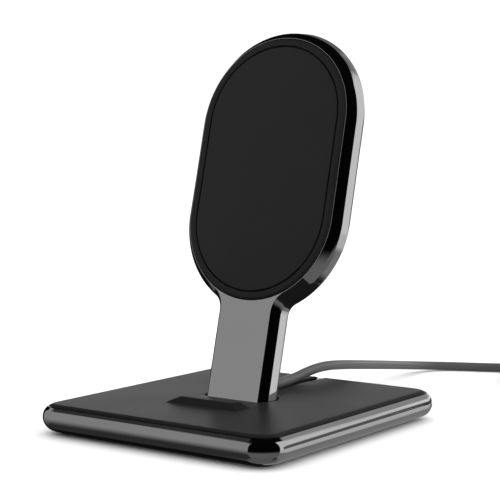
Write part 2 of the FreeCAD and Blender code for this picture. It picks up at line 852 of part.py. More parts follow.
def make_lead_tail():
    """Straight end of the lead between coil and far plug."""
    tail = Part.makeCylinder(lead_radius, tail_length, Vector(tail_x, coil_centre[1], tail_height), -Y_AXIS)
    return tail.cut(make_lead_coil())


def along_tail(start, length, width, height, middle):
    """A block in line with the tail, starting a distance beyond its end."""
    near = coil_centre[1] - tail_length - start
    return box(tail_x - width / 2, tail_x + width / 2, near - length, near,
               middle - height / 2, middle + height / 2)


def make_far_plug_body():
    """Moulded grip of the far plug with its tapered relief, lying flat on the desk."""
    grip = along_tail(far_relief_length, far_body_length, far_body_width, far_body_height, tail_height)
    along = [edge for edge in grip.Edges if abs(edge.Vertexes[0].Y - edge.Vertexes[1].Y) > 1]
    grip = grip.makeFillet(far_body_round, along)
    start = Vector(tail_x, coil_centre[1] - tail_length, tail_height)
    relief = Part.makeCone(lead_radius, far_relief_radius, far_relief_length, start, -Y_AXIS)
    return grip.fuse(relief).removeSplitter()


def make_far_plug_shell():
    """Flat metal tip of the far plug, open at its end."""
    start = far_relief_length + far_body_length
    tip = along_tail(start, far_shell_length, far_shell_width, far_shell_height, tail_height)
    hollow = along_tail(start + far_shell_wall, far_shell_length, far_shell_width - 2 * far_shell_wall,
                        far_shell_height - 2 * far_shell_wall, tail_height)
    return tip.cut(hollow)


def make_far_plug_tongue():
    """Plastic tongue inside the far plug's tip."""
    start = far_relief_length + far_body_length + far_shell_wall
    width = far_shell_width - 2 * far_shell_wall
    top = tail_height + far_shell_height / 2 - far_shell_wall
    return along_tail(start, far_shell_length - far_shell_wall - far_tongue_gap, width, far_tongue_height,
                      top - far_tongue_height / 2)


def main():
    os.makedirs("parts", exist_ok=True)
    upright = {
        "base_casting": make_base_casting(),
        "base_top_pad": make_base_top_pad(),
        "ballast_plate": make_ballast_plate(),
        "bottom_cover": make_bottom_cover(),
        "foot_pad": make_foot_pad(),
        "arm_screws": Part.makeCompound(make_arm_screws()),
        "cover_screws": Part.makeCompound(make_cover_screws()),
        "arm": make_arm(),
        "lead_tube": make_lead(),
        "lead_coil": make_lead_coil(),
        "cable_tie": make_cable_tie(),
        "lead_tail": make_lead_tail(),
        "far_plug_body": make_far_plug_body(),
        "far_plug_shell": make_far_plug_shell(),
        "far_plug_tongue": make_far_plug_tongue(),
    }
    leaning = {
        "puck_bezel": make_puck_bezel(),
        "puck_face_pad": make_puck_face_pad(),
        "puck_rear_shell": make_puck_rear_shell(),
        "charging_coil": make_charging_coil(),
        "ferrite_sheet": make_ferrite_sheet(),
        "coil_carrier": make_coil_carrier(),
        "circuit_board": make_circuit_board(),
        "control_chip": make_control_chip(),
        "inductor": make_inductor(),
        "capacitors": Part.makeCompound(make_capacitors()),
        "heat_pad": make_heat_pad(),
        "board_screws": Part.makeCompound(make_board_screws()),
        "puck_socket": make_socket(),
        "plug_shell": make_plug_shell(),
        "plug_body": make_plug_body(),
    }
    nodes = dict(upright)
    for name, shape in leaning.items():
        nodes[name] = on_arm(shape)
    for name, shape in nodes.items():
        print(name, "solids", len(shape.Solids), "valid", shape.isValid(), "volume", round(shape.Volume, 1))
        shape.exportStep("parts/" + name + ".step")


main()
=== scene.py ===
"""Desk charging stand, dressed for viewing: polished base and arm, soft pads, charging puck and its lead.

Metres, in the model's own frame: +Z up, the front towards -Y, the origin under the middle of the base.
Arm and puck are drawn upright in the arm's own axes (x across, y from the front face to the back,
z up the stem from the base's top) and then leaned back onto the base.
"""
import math
import bmesh
import bpy
from bpy.props import FloatProperty, FloatVectorProperty, IntProperty, PointerProperty
from mathutils import Matrix, Vector


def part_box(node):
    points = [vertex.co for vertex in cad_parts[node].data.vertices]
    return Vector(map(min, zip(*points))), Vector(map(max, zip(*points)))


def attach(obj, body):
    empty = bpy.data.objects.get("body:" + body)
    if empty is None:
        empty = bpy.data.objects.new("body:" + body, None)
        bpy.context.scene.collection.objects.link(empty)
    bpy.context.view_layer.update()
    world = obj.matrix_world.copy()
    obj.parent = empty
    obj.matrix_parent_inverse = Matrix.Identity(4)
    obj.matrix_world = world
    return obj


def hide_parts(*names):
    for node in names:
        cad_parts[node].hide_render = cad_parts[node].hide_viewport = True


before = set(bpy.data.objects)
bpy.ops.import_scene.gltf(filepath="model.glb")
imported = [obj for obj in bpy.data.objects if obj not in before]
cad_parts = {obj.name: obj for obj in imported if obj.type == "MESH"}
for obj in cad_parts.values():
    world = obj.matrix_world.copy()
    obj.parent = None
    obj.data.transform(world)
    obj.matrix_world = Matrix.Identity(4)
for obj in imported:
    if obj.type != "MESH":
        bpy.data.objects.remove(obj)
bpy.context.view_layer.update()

bl_info = {
    "name": "Desk charging stand",
    "version": (1, 0, 0),
    "blender": (4, 5, 0),
    "location": "View3D > Sidebar > Stand",
    "description": "Builds the look of a desk charging stand around its packed model",
    "category": "Add Mesh",
}

BODY = "root"
MM = 0.001

# Steps in which the curves are drawn
BULLNOSE_STEPS_ABOVE = 14
BULLNOSE_STEPS_BELOW = 20
CORNER_STEPS = 20
STRAIGHT_STEPS = 10
NECK_STEPS = 18
HOOP_STEPS = 44
CROWN_STEPS = 80
PILL_STEPS = 72

# Vertices nearer than this are one
JOIN_DISTANCE = 0.002 * MM

# Where the key light shines from, towards the origin
KEY_PLACE = (0.24, 0.30, 0.80)

# The lead's way, from its plug in the stem over the base's rear edge to the coil, in metres
LEAD_ROUTE = [
    (0.0, 0.00379, 0.02632),
    (0.0, 0.00290, 0.02279),
    (0.0, 0.00336, 0.01882),
    (0.0, 0.00520, 0.01528),
    (0.0, 0.00819, 0.01262),
    (0.0, 0.01192, 0.01120),
    (0.0, 0.01900, 0.01120),
    (0.0, 0.03000, 0.01170),
    (0.0, 0.04100, 0.01340),
    (0.0, 0.05200, 0.01370),
    (0.0, 0.06500, 0.01230),
    (-0.0016, 0.07940, 0.01025),
    (-0.0036, 0.09540, 0.00795),
    (-0.0056, 0.11300, 0.00535),
    (-0.0066, 0.12830, 0.00315),
    (-0.0040, 0.13650, 0.00220),
    (0.0013, 0.14250, 0.00180),
    (0.0152, 0.14880, 0.00180),
    (0.0314, 0.15610, 0.00190),
    (0.0476, 0.16350, 0.00250),
]

# Places of the coil's turns as (ring from the inside, layer from below), in the order they are wound
COIL_TURNS = [(2, 0), (1, 0), (0, 0), (0, 1), (0, 2), (0, 3), (1, 3), (2, 3), (2, 2), (1, 2), (1, 1), (2, 1)]

# The studio's cards, each laid over the ones before it: left and right azimuth, lower and upper elevation,
# softness of their sides and of their upper and lower edges, all in degrees, and brightness
STUDIO_CARDS = [
    (-131.0, -14.0, -60.0, 50.0, 4.0, 3.0, 0.39),
    (-131.0, -14.0, -130.0, -18.0, 4.0, 19.0, 0.042),
    (103.0, 153.0, -60.0, 47.0, 1.5, 2.0, 0.88),
    (153.0, 229.0, 18.0, 95.0, 4.0, 4.0, 0.40),
    (107.0, 165.0, -60.0, -9.0, 2.0, 3.0, 0.70),
    (103.0, 165.0, -130.0, -23.0, 2.0, 3.0, 0.27),
    (160.0, 216.0, -130.0, -8.0, 5.0, 4.0, 0.28),
    (122.0, 175.0, -7.0, 7.5, 2.0, 3.0, 0.14),
    (-22.0, 105.5, -130.0, 95.0, 1.5, 1.5, 0.002),
    (-26.0, 105.5, -130.0, -19.0, 6.0, 8.0, 0.17),
    (-146.0, -100.0, -57.0, -1.0, 2.0, 1.0, 0.006),
    (-131.0, -100.0, -15.0, 95.0, 1.5, 2.0, 0.003),
    (-175.0, -143.0, 10.0, 95.0, 5.0, 4.0, 0.15),
    (-143.0, -100.0, 13.0, 95.0, 4.0, 3.0, 0.003),
    (140.0, 220.0, 43.0, 95.0, 3.0, 6.0, 0.003),
    (-200.0, 200.0, 47.0, 95.0, 1.0, 2.0, 0.003),
    (-105.0, -22.0, 41.0, 60.0, 4.0, 3.5, 0.05),
    (-200.0, 200.0, -130.0, -57.0, 1.0, 4.0, 0.15),
    (104.0, 124.0, -66.0, -51.0, 5.0, 5.0, 0.02),
]


def size_of(label, millimetres, note):
    return FloatProperty(name=label, description=note, default=millimetres * MM, unit="LENGTH", precision=5)


def turn_of(label, degrees, note):
    return FloatProperty(name=label, description=note, default=math.radians(degrees), unit="ROTATION")


def share_of(label, value, note):
    return FloatProperty(name=label, description=note, default=value, subtype="FACTOR", min=0.0, max=1.0)


def colour_of(label, value, note):
    return FloatVectorProperty(name=label, description=note, default=value, subtype="COLOR", size=3,
                               min=0.0, max=1.0)


def count_of(label, value, note):
    return IntProperty(name=label, description=note, default=value, min=1)


class StandBaseSizes(bpy.types.PropertyGroup):
    """Sizes of the base's casting"""
    corner: size_of("Corner radius", 9.0, "Radius of the base's corners, seen from above")
    height: size_of("Pad height", 10.0, "Height of the pad's top above the desk")
    seam: size_of("Seam height", 9.2, "Height of the seam between casting and pad")
    shoulder: size_of("Shoulder height", 8.3, "Height of the crease under the casting's flat shoulder")
    bottom: size_of("Underside height", 1.0, "Height of the casting's underside")
    equator: size_of("Equator height", 5.7, "Height at which the casting is widest")
    seat_inset: size_of("Seat inset", 7.0, "Distance from the edge to the pad's seat")
    seat_depth: size_of("Seat depth", 1.5, "Depth of the pad's seat")
    well_inset: size_of("Well inset", 5.8, "Distance from the edge to the cover's well")


class StandArmSizes(bpy.types.PropertyGroup):
    """Sizes of the leaning arm"""
    lean: turn_of("Lean", 14.2, "How far the arm leans back")
    front: size_of("Front", -5.7, "Where the front face meets the base's top")
    stem_width: size_of("Stem width", 21.1, "Width of the stem's front face")
    pill_height: size_of("Hoop height", 78.6, "Height of the hoop's middle up the stem")
    pill_straight: size_of("Hoop straight", 33.0, "Straight length of the hoop's sides")
    hoop_radius: size_of("Hoop radius", 29.45, "Radius of the hoop's front face")
    thickness: size_of("Thickness", 10.6, "Thickness from front to back")
    crease_depth: size_of("Crease depth", 2.45, "Depth of the crease in the side walls")
    crease_spread: size_of("Crease spread", 2.05, "How far the crease stands out")
    ridge_depth: size_of("Ridge depth", 6.0, "Depth of the ridge in the side walls")
    ridge_spread: size_of("Ridge spread", 3.15, "How far the ridge stands out")
    rear_spread: size_of("Rear spread", -0.25, "How far the rear edge stands out")
    front_spread: size_of("Front spread", -0.35, "How far the front edge stands out")
    front_ease: size_of("Front easing", 0.1, "Radius that eases the front edge")
    crease_ease: size_of("Crease easing", 2.4, "Radius that eases the crease")
    ridge_ease: size_of("Ridge easing", 1.2, "Radius that eases the ridge")
    rear_ease: size_of("Rear easing", 0.5, "Radius that eases the rear edge")
    stem_share: share_of("Stem share", 0.93, "Share of the spread that the stem has")
    neck_round: size_of("Neck radius", 8.0, "Radius of the necks between stem and hoop")
    bore: size_of("Bore radius", 28.95, "Radius of the puck's bore")
    ledge_depth: size_of("Ledge depth", 8.8, "Depth of the ledge behind the puck")
    ledge_bore: size_of("Ledge radius", 25.3, "Radius of the opening in the ledge")
    foot: size_of("Foot depth", 0.6, "How far the stem stands below the pad's top")


class StandTroughSizes(bpy.types.PropertyGroup):
    """Sizes of the open trough in the back of the stem"""
    lead_half: size_of("Lead half width", 2.3, "Half the width of the lead's part")
    lead_floor: size_of("Lead floor", 3.15, "Depth of the lead's part below the front face")
    relief_half: size_of("Relief half width", 3.05, "Half the width of the strain relief's part")
    relief_floor: size_of("Relief floor", 2.15, "Depth of the strain relief's part")
    relief_bottom: size_of("Relief bottom", 18.15, "Lower end of the strain relief's part")
    plug_half: size_of("Plug half width", 5.95, "Half the width of the plug's part")
    plug_floor: size_of("Plug floor", 1.75, "Depth of the plug's part")
    plug_bottom: size_of("Plug bottom", 20.8, "Lower end of the plug's part")
    plug_top: size_of("Plug top", 33.55, "Upper end of the plug's part")


class StandPuckSizes(bpy.types.PropertyGroup):
    """Sizes of the puck's front"""
    radius: size_of("Radius", 28.75, "Radius of the puck's ends")
    proud: size_of("Proud", 0.6, "How far the bezel stands out of the hoop")
    back: size_of("Bezel back", 1.4, "Depth of the bezel's back")
    edge_round: size_of("Bezel edge radius", 1.1, "Radius of the bezel's outer edge")
    recess: size_of("Recess radius", 26.25, "Radius of the recess for the soft face")
    recess_floor: size_of("Recess floor", 0.4, "Depth of the recess")
    face: size_of("Face radius", 25.75, "Radius of the soft face's ends")
    face_front: size_of("Face front", -0.7, "Depth of the soft face's front")
    face_round: size_of("Face edge radius", 0.35, "Radius of the soft face's edge")


class StandLeadSizes(bpy.types.PropertyGroup):
    """Sizes of the lead and its coil"""
    radius: size_of("Radius", 1.75, "Radius of the lead")
    length: size_of("Length", 1500.0, "Length from plug to plug")
    coil_radius: size_of("Coil radius", 18.3, "Radius at the middle of the coil's turns")
    coil_x: size_of("Coil place across", 56.6, "Coil's middle to the right")
    coil_y: size_of("Coil place behind", 143.7, "Coil's middle to the back")
    coil_bottom: size_of("Coil bottom", 0.8, "Height of the coil's lowest turn")
    tail_height: size_of("Tail height", 4.0, "Height of the lead's free end")
    tail_end: size_of("Tail end", 121.7, "Where the lead enters the far plug")
    steps: count_of("Points per turn", 16, "Points of the curve in each turn")
    ribs: count_of("Relief ribs", 6, "Ribs on the far plug's strain relief")
    relief: size_of("Relief length", 9.0, "Length of the far plug's strain relief")
    relief_radius: size_of("Relief radius", 3.0, "Radius of the relief's wide end")


class StandColours(bpy.types.PropertyGroup):
    """Colours of the finishes"""
    gunmetal: colour_of("Gunmetal", (0.50, 0.50, 0.51), "Polished casting")
    arm: colour_of("Arm", (0.57, 0.57, 0.58), "Polished arm")
    soft_touch: colour_of("Soft touch", (0.009, 0.009, 0.0095), "Pad on the base")
    face: colour_of("Face", (0.011, 0.011, 0.012), "Soft face of the puck")
    bezel: colour_of("Bezel", (0.010, 0.010, 0.011), "Bezel and shell of the puck")
    rubber: colour_of("Rubber", (0.012, 0.012, 0.012), "Foot under the base")
    jacket: colour_of("Jacket", (0.085, 0.085, 0.088), "Lead and plug grips")
    steel: colour_of("Steel", (0.56, 0.55, 0.53), "Plug tips, screws and ballast")
    copper: colour_of("Copper", (0.72, 0.36, 0.20), "Charging coil")
    board: colour_of("Board", (0.012, 0.060, 0.032), "Circuit board")
    floor: colour_of("Floor", (0.90, 0.90, 0.90), "Floor of the studio")


class StandStage(bpy.types.PropertyGroup):
    """Camera and light of the studio"""
    azimuth: turn_of("Azimuth", 35.95, "Camera's place round the stand, from the front towards the right")
    elevation: turn_of("Elevation", 4.4, "Camera's height above the horizon")
    distance: size_of("Distance", 464.0, "Camera's distance from the point it looks at")
    aside: size_of("Aim aside", 2.54, "How far right of the base's middle the camera looks")
    aim_height: size_of("Aim height", 59.1, "Height of the point that the camera looks at")
    lens: FloatProperty(name="Lens", description="Focal length on a 36 mm sensor", default=100.58,
                        unit="CAMERA")
    sky: FloatProperty(name="Sky", description="Brightness of the white studio walls", default=1.15, min=0.0)
    key: FloatProperty(name="Key", description="Strength of the soft key light", default=4.7, min=0.0)
    key_angle: turn_of("Key angle", 165.0, "Width of the soft key light as seen from the stand")


class Wire:
    """A shader socket that adds Math nodes for the arithmetic written on it"""

    def __init__(self, nodes, socket):
        self.nodes = nodes
        self.socket = socket

    def math(self, operation, *values):
        return self.nodes.add("ShaderNodeMath", {"operation": operation}, dict(enumerate(values)))

    def __add__(self, other):
        return self.math("ADD", self, other)

    def __radd__(self, other):
        return self.math("ADD", other, self)

    def __sub__(self, other):
        return self.math("SUBTRACT", self, other)

    def __rsub__(self, other):
        return self.math("SUBTRACT", other, self)

    def __mul__(self, other):
        return self.math("MULTIPLY", self, other)


class Nodes:
    """A node tree under construction"""

    def __init__(self, tree):
        self.tree = tree
        tree.nodes.clear()

    def add(self, kind, settings=None, inputs=None, output=0):
        """Adds a node, sets it up, fills its sockets and gives one of its outputs back."""
        node = self.tree.nodes.new(kind)
        for name, value in (settings or {}).items():
            setattr(node, name, value)
        for name, value in (inputs or {}).items():
            self.fill(node.inputs[name], value)
        if not node.outputs:
            return None
        return Wire(self, node.outputs[output])

    def fill(self, socket, value):
        if isinstance(value, Wire):
            self.tree.links.new(value.socket, socket)
        elif hasattr(value, "__len__") and len(value) == 3 and len(socket.default_value) == 4:
            socket.default_value = (*value, 1.0)
        else:
            socket.default_value = value

    def place(self):
        return self.add("ShaderNodeTexCoord", output="Object")

    def axis(self, vector, name):
        return self.add("ShaderNodeSeparateXYZ", None, {0: vector}, name)

    def stretch(self, vector, scale):
        return self.add("ShaderNodeMapping", None, {"Vector": vector, "Scale": scale})

    def noise(self, scale, detail=2.0, vector=None, rough=0.5):
        inputs = {"Scale": scale, "Detail": detail, "Roughness": rough}
        inputs["Vector"] = vector or self.place()
        return self.add("ShaderNodeTexNoise", None, inputs)

    def ease(self, value, low, high):
        """A smooth step from nothing at low to one at high."""
        inputs = {"Value": value, "From Min": low, "From Max": high}
        return self.add("ShaderNodeMapRange", {"interpolation_type": "SMOOTHSTEP"}, inputs)

    def window(self, value, low, high, soft):
        """One between low and high and nothing outside, with soft ends."""
        return self.ease(value, low - soft, low + soft) * (1 - self.ease(value, high - soft, high + soft))

    def blend(self, first, second, amount):
        """A colour between two colours."""
        return self.add("ShaderNodeMix", {"data_type": "RGBA"}, {0: amount, 6: first, 7: second}, 2)

    def bump(self, height, strength, distance):
        inputs = {"Height": height, "Strength": strength, "Distance": distance}
        return self.add("ShaderNodeBump", None, inputs)

    def surface(self, inputs):
        shader = self.add("ShaderNodeBsdfPrincipled", None, inputs)
        self.add("ShaderNodeOutputMaterial", None, {"Surface": shader})


def new_finish(name):
    material = bpy.data.materials.new(name)
    material.use_nodes = True
    return material, Nodes(material.node_tree)


def shade(colour, amount):
    return tuple(channel * amount for channel in colour)


def polished_metal(name, colour, rough):
    """Polished metal with faint haze and hairlines from the polishing wheel."""
    haze_share = 0.05
    uneven = rough * 0.35
    along_wheel = (9.0, 9.0, 0.35)
    material, nodes = new_finish(name)
    haze = nodes.noise(45.0, 3.0)
    hairline = nodes.noise(420.0, 2.0, nodes.stretch(nodes.place(), along_wheel))
    nodes.surface({
        "Base Color": nodes.blend(shade(colour, 1 - haze_share), shade(colour, 1 + haze_share), haze),
        "Roughness": rough + haze * uneven + hairline * uneven,
        "Metallic": 1.0,
    })
    return material


def soft_touch(name, colour, rough, grain, depth, gloss, sheen=0.0):
    """Soft-touch moulding: matt, finely grained, with a trace of handling in its sheen."""
    material, nodes = new_finish(name)
    speckle = nodes.noise(grain, 3.0, rough=0.6)
    cloud = nodes.noise(28.0, 3.0)
    nodes.surface({
        "Base Color": nodes.blend(shade(colour, 0.86), shade(colour, 1.14), cloud),
        "Roughness": rough + (cloud - 0.5) * 0.10 + (speckle - 0.5) * 0.08,
        "Specular IOR Level": gloss,
        "Sheen Weight": sheen,
        "Sheen Roughness": 0.4,
        "Normal": nodes.bump(speckle, 0.35, depth),
    })
    return material


def moulded(name, colour, rough, grain=2400.0):
    """Plain moulded plastic with a fine spark-eroded grain."""
    material, nodes = new_finish(name)
    speckle = nodes.noise(grain, 2.0)
    cloud = nodes.noise(60.0, 2.0)
    nodes.surface({
        "Base Color": nodes.blend(shade(colour, 0.9), shade(colour, 1.1), cloud),
        "Roughness": rough + (speckle - 0.5) * 0.12,
        "Normal": nodes.bump(speckle, 0.2, 0.03 * MM),
    })
    return material


def brushed(name, colour, rough):
    """Rolled or brushed metal, streaked one way."""
    across_streaks = (1.0, 1.0, 40.0)
    material, nodes = new_finish(name)
    streak = nodes.noise(160.0, 3.0, nodes.stretch(nodes.place(), across_streaks))
    nodes.surface({
        "Base Color": nodes.blend(shade(colour, 0.82), colour, streak),
        "Roughness": rough + (streak - 0.5) * 0.16,
        "Metallic": 1.0,
        "Normal": nodes.bump(streak, 0.08, 0.03 * MM),
    })
    return material


def arm_point(arm, base_height, x, y, z):
    """A point of the arm's axes in the model's frame."""
    across = arm.front + y * math.cos(arm.lean) + z * math.sin(arm.lean)
    height = base_height - y * math.sin(arm.lean) + z * math.cos(arm.lean)
    return Vector((x, across, height))


def arc(centre, radius, start, end, steps):
    """Points along an arc, both ends included."""
    points = []
    for step in range(steps + 1):
        angle = start + (end - start) * step / steps
        points.append((centre[0] + radius * math.cos(angle), centre[1] + radius * math.sin(angle)))
    return points


def eased(points, radii, steps):
    """An open profile with its inner corners rounded."""
    path = [Vector(points[0])]
    for before, corner, after, radius in zip(points, points[1:], points[2:], radii):
        corner = Vector(corner)
        back = (Vector(before) - corner).normalized()
        ahead = (Vector(after) - corner).normalized()
        reach = radius * math.tan((math.pi - back.angle(ahead)) / 2)
        start = corner + back * reach
        end = corner + ahead * reach
        for step in range(steps + 1):
            t = step / steps
            path.append(start * (1 - t) ** 2 + corner * (2 * t * (1 - t)) + end * t ** 2)
    path.append(Vector(points[-1]))
    return path


def pill_loop(arm, radius, depth):
    """The pill-shaped outline of hoop and puck at a radius and a depth, in the arm's axes."""
    low = arm.pill_height - arm.pill_straight / 2
    high = arm.pill_height + arm.pill_straight / 2
    loop = arc((0.0, high), radius, 0.0, math.pi, PILL_STEPS)
    loop += arc((0.0, low), radius, math.pi, 2 * math.pi, PILL_STEPS)
    return [(x, depth, z) for x, z in loop]


def skin(bm, rows, closed):
    """Quads between neighbouring rows of vertices."""
    for row, following in zip(rows, rows[1:]):
        count = len(row)
        for index in range(count if closed else count - 1):
            ahead = (index + 1) % count
            bm.faces.new((row[index], row[ahead], following[ahead], following[index]))


def fill(bm, *loops):
    """A flat face inside the first loop and outside the others."""
    edges = []
    for loop in loops:
        for start, end in zip(loop, loop[1:] + loop[:1]):
            edges.append(bm.edges.get((start, end)) or bm.edges.new((start, end)))
    corners = [vert for loop in loops for vert in loop]
    bmesh.ops.scale(bm, vec=(1 / MM, 1 / MM, 1 / MM), verts=corners)
    bmesh.ops.triangle_fill(bm, use_beauty=True, edges=edges)
    bmesh.ops.scale(bm, vec=(MM, MM, MM), verts=corners)


def vertices(bm, points):
    return [bm.verts.new(point) for point in points]


def mesh_from(bm, name):
    bmesh.ops.recalc_face_normals(bm, faces=bm.faces)
    mesh = bpy.data.meshes.new(name)
    bm.to_mesh(mesh)
    bm.free()
    return mesh


def add_piece(name, mesh, material, nodes=(), crease=30.0):
    """Adds a finished piece to the scene, on the stand's body, in the place of CAD nodes."""
    mesh.shade_smooth()
    mesh.set_sharp_from_angle(angle=math.radians(crease))
    mesh.materials.clear()
    mesh.materials.append(material)
    piece = bpy.data.objects.new(name, mesh)
    bpy.context.scene.collection.objects.link(piece)
    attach(piece, BODY)
    if nodes:
        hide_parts(*nodes)
    return piece


def smooth_copy(node, name, material, crease=25.0):
    """A CAD node's own form with its triangles joined up, shaded smooth between its real edges."""
    bm = bmesh.new()
    bm.from_mesh(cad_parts[node].data)
    bmesh.ops.remove_doubles(bm, verts=bm.verts, dist=JOIN_DISTANCE)
    mesh = bpy.data.meshes.new(name)
    bm.to_mesh(mesh)
    bm.free()
    piece = add_piece(name, mesh, material, (node,), crease)
    weighted = piece.modifiers.new("Flat faces stay flat", "WEIGHTED_NORMAL")
    weighted.keep_sharp = True
    weighted.weight = 90
    return piece


def dress(material, *nodes):
    """Gives CAD nodes a finish."""
    for node in nodes:
        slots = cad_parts[node].data.materials
        slots.clear()
        slots.append(material)


class STAND_OT_camera(bpy.types.Operator):
    """Stand the camera where the picture is taken from"""
    bl_idname = "stand.camera"
    bl_label = "Camera"

    def execute(self, context):
        stage = context.scene.stand_stage
        aim = Vector((stage.aside * math.cos(stage.azimuth), stage.aside * math.sin(stage.azimuth),
                      stage.aim_height))
        level = math.cos(stage.elevation)
        outward = Vector((math.sin(stage.azimuth) * level, -math.cos(stage.azimuth) * level,
                          math.sin(stage.elevation)))
        data = bpy.data.cameras.new("studio_camera")
        data.sensor_width = 36.0
        data.lens = stage.lens
        data.clip_start = 0.01
        camera = bpy.data.objects.new("studio_camera", data)
        camera.location = aim + outward * stage.distance
        camera.rotation_euler = outward.to_track_quat("Z", "Y").to_euler()
        context.scene.collection.objects.link(camera)
        context.scene.camera = camera
        return {"FINISHED"}


class STAND_OT_lead(bpy.types.Operator):
    """Lay the lead over the base and wind up its spare length"""
    bl_idname = "stand.lead"
    bl_label = "Lead"

    def coil_points(self, lead):
        """Points of the wound turns: each turn slides over to the next place in its last sixth."""
        pitch = 2 * lead.radius
        places = []
        for ring, layer in COIL_TURNS:
            places.append((lead.coil_radius + (ring - 1) * pitch, lead.coil_bottom + (layer + 0.5) * pitch))
        places.append((places[-1][0], lead.tail_height))
        start = math.atan2(LEAD_ROUTE[-1][1] - lead.coil_y, LEAD_ROUTE[-1][0] - lead.coil_x)
        step = 2 * math.pi / lead.steps
        outside = 1 / math.cos(step / 2)
        points = []
        count = int((start + 2 * math.pi * (len(COIL_TURNS) - 1)) / step)
        for index in range(1, count + 1):
            turned = index * step
            turn = (turned - start) / (2 * math.pi) + 1
            whole = max(0, math.floor(turn))
            late = max(0.0, (turn - whole) * 6 - 5)
            late = late * late * (3 - 2 * late)
            radius = places[whole][0] * (1 - late) + places[whole + 1][0] * late
            height = places[whole][1] * (1 - late) + places[whole + 1][1] * late
            angle = start - turned
            points.append((lead.coil_x + radius * outside * math.cos(angle),
                           lead.coil_y + radius * outside * math.sin(angle), height))
        tail_x = lead.coil_x + places[-1][0]
        for share in (0.0, 0.45, 1.0):
            points.append((tail_x, lead.coil_y * (1 - share) + lead.tail_end * share, lead.tail_height))
        return points

    def execute(self, context):
        lead = context.scene.stand_lead
        points = LEAD_ROUTE + self.coil_points(lead)
        curve = bpy.data.curves.new("lead", "CURVE")
        curve.dimensions = "3D"
        curve.bevel_depth = lead.radius
        curve.bevel_resolution = 5
        curve.resolution_u = 5
        curve.use_fill_caps = True
        spline = curve.splines.new("NURBS")
        spline.points.add(len(points) - 1)
        for place, point in zip(spline.points, points):
            place.co = (*point, 1.0)
        spline.order_u = 3
        spline.use_endpoint_u = True
        jacket = moulded("lead_jacket", context.scene.stand_colours.jacket, 0.32)
        curve.materials.append(jacket)
        cord = bpy.data.objects.new("lead", curve)
        context.scene.collection.objects.link(cord)
        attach(cord, BODY)
        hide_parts("lead_tube", "lead_coil", "lead_tail")
        on_lead = self.far_plug(context, jacket)
        return {"FINISHED"}

    def far_plug(self, context, jacket):
        """The plug at the far end, its ribbed relief and the tie round the coil."""
        lead = context.scene.stand_lead
        steel = brushed("plug_metal", context.scene.stand_colours.steel, 0.26)
        grip = smooth_copy("far_plug_body", "far_plug_grip", jacket)
        tip = smooth_copy("far_plug_shell", "far_plug_tip", steel)
        ribs = add_ribs(context, jacket, (lead.coil_x + lead.coil_radius + 2 * lead.radius, lead.tail_end,
                                          lead.tail_height))
        tie = smooth_copy("cable_tie", "lead_tie", woven_tie())
        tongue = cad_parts["far_plug_tongue"]
        dress(moulded("tongue_plastic", (0.55, 0.55, 0.55), 0.4), "far_plug_tongue")
        near = smooth_copy("plug_body", "near_plug_grip", jacket)
        dress(steel, "plug_shell")
        return [grip, tip, tongue, ribs, tie, near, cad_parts["plug_shell"]]


def woven_tie():
    """Hook-and-loop band: dark cloth with crossing threads."""
    material, nodes = new_finish("tie_fabric")
    place = nodes.place()
    warp = nodes.add("ShaderNodeTexWave", {"bands_direction": "Z"}, {"Vector": place, "Scale": 520.0})
    weft = nodes.add("ShaderNodeTexWave", {"bands_direction": "DIAGONAL"}, {"Vector": place, "Scale": 420.0})
    thread = warp * 0.6 + weft * 0.4
    nodes.surface({
        "Base Color": nodes.blend((0.012, 0.012, 0.013), (0.045, 0.045, 0.048), thread),
        "Roughness": 0.72 + thread * 0.15,
        "Sheen Weight": 0.4,
        "Normal": nodes.bump(thread, 0.6, 0.2 * MM),
    })
    return material


def ribs_tree(material):
    """Geometry nodes: rings in a row along -Y that widen from one end to the other."""
    tree = bpy.data.node_groups.new("relief_ribs", "GeometryNodeTree")
    tree.interface.new_socket("Geometry", in_out="OUTPUT", socket_type="NodeSocketGeometry")
    for name, kind in (("Count", "NodeSocketInt"), ("Length", "NodeSocketFloat"),
                       ("Near radius", "NodeSocketFloat"), ("Far radius", "NodeSocketFloat"),
                       ("Rib radius", "NodeSocketFloat")):
        tree.interface.new_socket(name, in_out="INPUT", socket_type=kind)
    nodes = Nodes(tree)
    inputs = tree.nodes.new("NodeGroupInput")

    def given(name):
        return Wire(nodes, inputs.outputs[name])

    last = given("Count") - 1
    step = given("Length").math("DIVIDE", given("Length"), given("Count"))
    offset = nodes.add("ShaderNodeCombineXYZ", None, {"Y": step * -1})
    row = nodes.add("GeometryNodeMeshLine", {"mode": "OFFSET"}, {"Count": given("Count"), "Offset": offset,
                                                                 "Start Location": (0.0, -0.0006, 0.0)})
    ring = nodes.add("GeometryNodeCurvePrimitiveCircle", None, {"Resolution": 32, "Radius": 1.0})
    thin = given("Rib radius").math("DIVIDE", given("Rib radius"), given("Far radius"))
    section = nodes.add("GeometryNodeCurvePrimitiveCircle", None, {"Resolution": 8, "Radius": thin})
    torus = nodes.add("GeometryNodeCurveToMesh", None, {"Curve": ring, "Profile Curve": section})
    along = nodes.add("GeometryNodeInputIndex")
    share = along.math("DIVIDE", along, last)
    width = given("Near radius") + share * (given("Far radius") - given("Near radius"))
    copies = nodes.add("GeometryNodeInstanceOnPoints", None, {
        "Points": row, "Instance": torus, "Scale": width, "Rotation": (math.pi / 2, 0.0, 0.0)})
    real = nodes.add("GeometryNodeRealizeInstances", None, {0: copies})
    done = nodes.add("GeometryNodeSetMaterial", None, {"Geometry": real, "Material": material})
    nodes.add("NodeGroupOutput", None, {0: done})
    return tree


